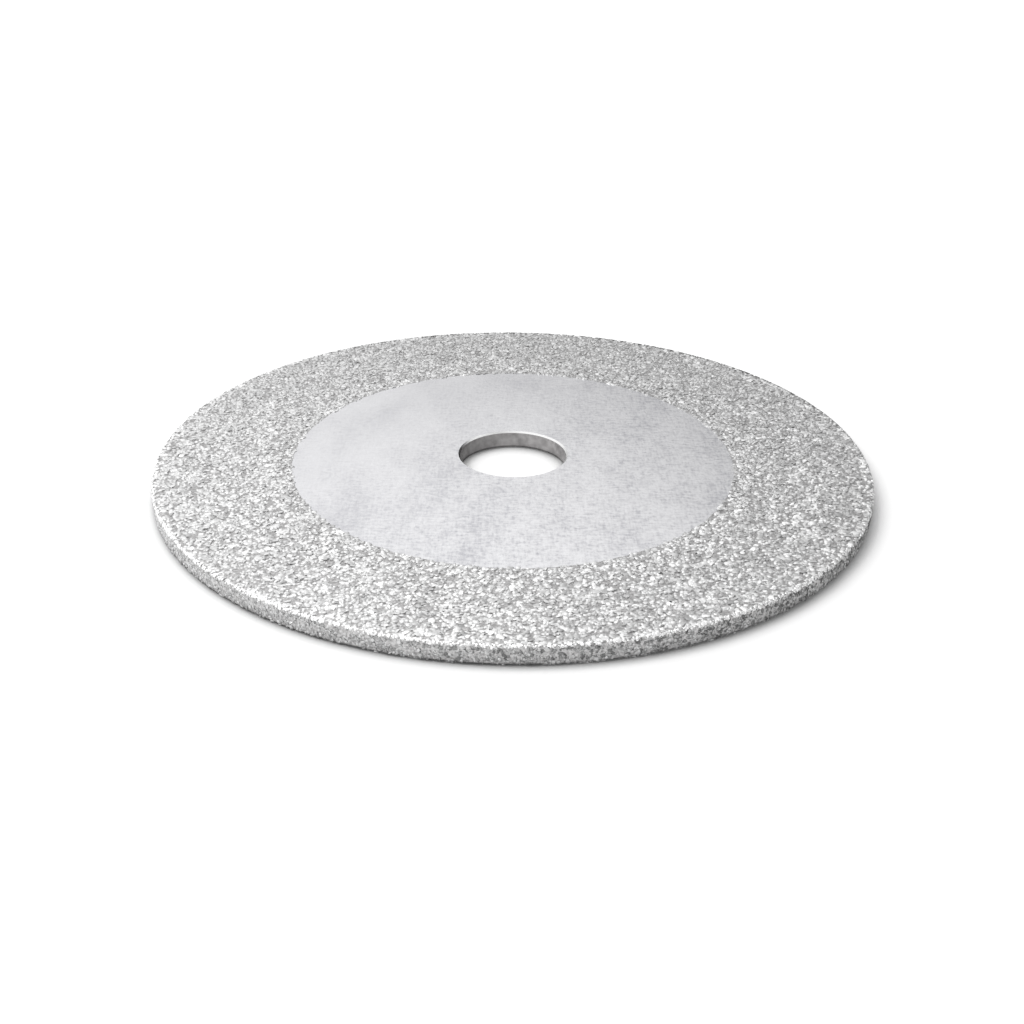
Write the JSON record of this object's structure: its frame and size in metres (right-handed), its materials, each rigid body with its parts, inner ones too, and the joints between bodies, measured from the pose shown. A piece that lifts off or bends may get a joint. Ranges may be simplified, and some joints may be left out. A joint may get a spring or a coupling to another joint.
{
  "type": "diamond cutting disc",
  "caption": "Thin round steel cutting disc with a central bore and a plated band of diamond grit wrapped round its rim and both faces.",
  "frame": {"origin": "on the disc's axis, level with the underside of the band that it lies on", "axes": "+Z along the disc's axis, up from the face that it lies on; X and Y lie in the disc's plane"},
  "size_m": [0.04, 0.04, 0.0011],
  "materials": {
    "blank_steel": "bare satin steel with fine crossed scratches",
    "diamond_grit": "diamond grit held in electroplated nickel, rough and sparkling"
  },
  "bodies": {
    "root": {"steel_blank": "blank_steel", "diamond_band": "diamond_grit"}
  },
  "joints": []
}
